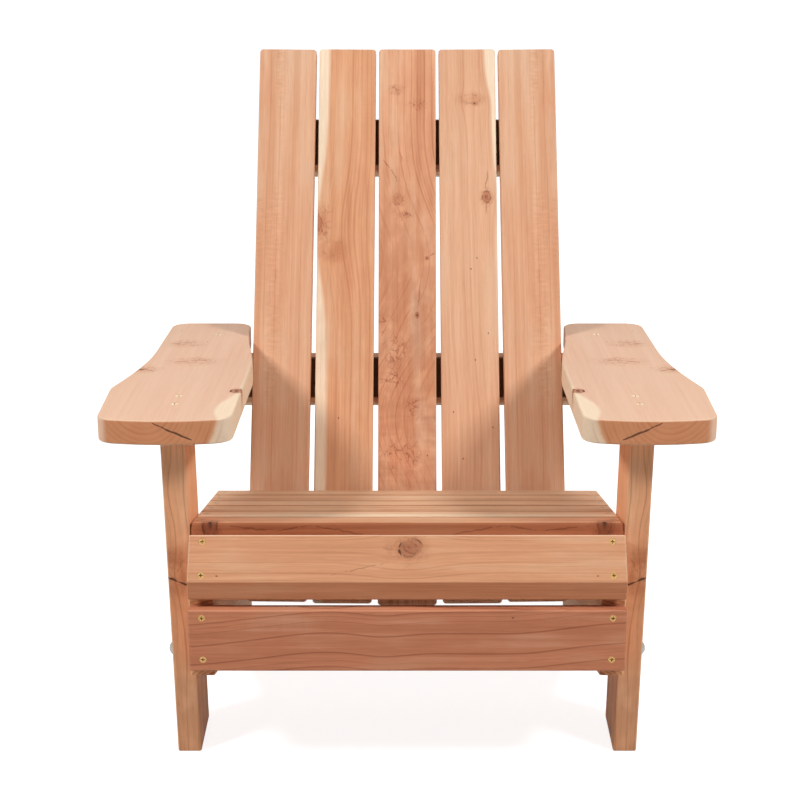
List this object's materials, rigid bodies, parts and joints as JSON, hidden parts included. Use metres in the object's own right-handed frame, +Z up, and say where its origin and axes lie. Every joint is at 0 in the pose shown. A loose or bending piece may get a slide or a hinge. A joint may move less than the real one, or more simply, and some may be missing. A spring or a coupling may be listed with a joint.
{
  "type": "adirondack chair",
  "caption": "Low wooden garden chair with a slatted reclined back, a sloping slatted seat on side rails, front legs and wide flared flat arms.",
  "frame": {"origin": "on the floor, under the middle of the chair's overall box", "axes": "+Z up, -Y towards the front of the seat, +X to the right as seen from the front"},
  "size_m": [0.7892, 0.7113, 0.8597],
  "materials": {
    "cedar_arm": "sanded, bare",
    "cedar_frame": "sanded, bare",
    "cedar_back": "sanded, bare",
    "cedar_seat": "sanded, bare",
    "cedar_front": "sanded, bare",
    "cedar_brace": "sanded, bare",
    "screw_yellow_zinc": "yellow zinc plated",
    "bolt_zinc": "zinc plated"
  },
  "bodies": {
    "root": {"arm_screws": "screw_yellow_zinc", "back_cleat": "cedar_brace", "back_slat_1": "cedar_back", "back_slat_2": "cedar_back", "back_slat_3": "cedar_back", "back_slat_4": "cedar_back", "back_slat_5": "cedar_back", "back_slat_screws": "screw_yellow_zinc", "bolt_nuts": "bolt_zinc", "bolt_washers": "bolt_zinc", "cleat_screws": "screw_yellow_zinc", "front_apron": "cedar_front", "front_board_screws": "screw_yellow_zinc", "left_arm": "cedar_arm", "left_front_leg": "cedar_frame", "left_stringer": "cedar_frame", "leg_bolts": "bolt_zinc", "lower_back_brace": "cedar_brace", "nose_board": "cedar_front", "right_arm": "cedar_arm", "right_front_leg": "cedar_frame", "right_stringer": "cedar_frame", "seat_screws": "screw_yellow_zinc", "seat_slat_1": "cedar_seat", "seat_slat_2": "cedar_seat", "seat_slat_3": "cedar_seat", "seat_slat_4": "cedar_seat", "seat_slat_5": "cedar_seat", "seat_slat_6": "cedar_seat", "upper_back_brace": "cedar_brace"}
  },
  "joints": []
}
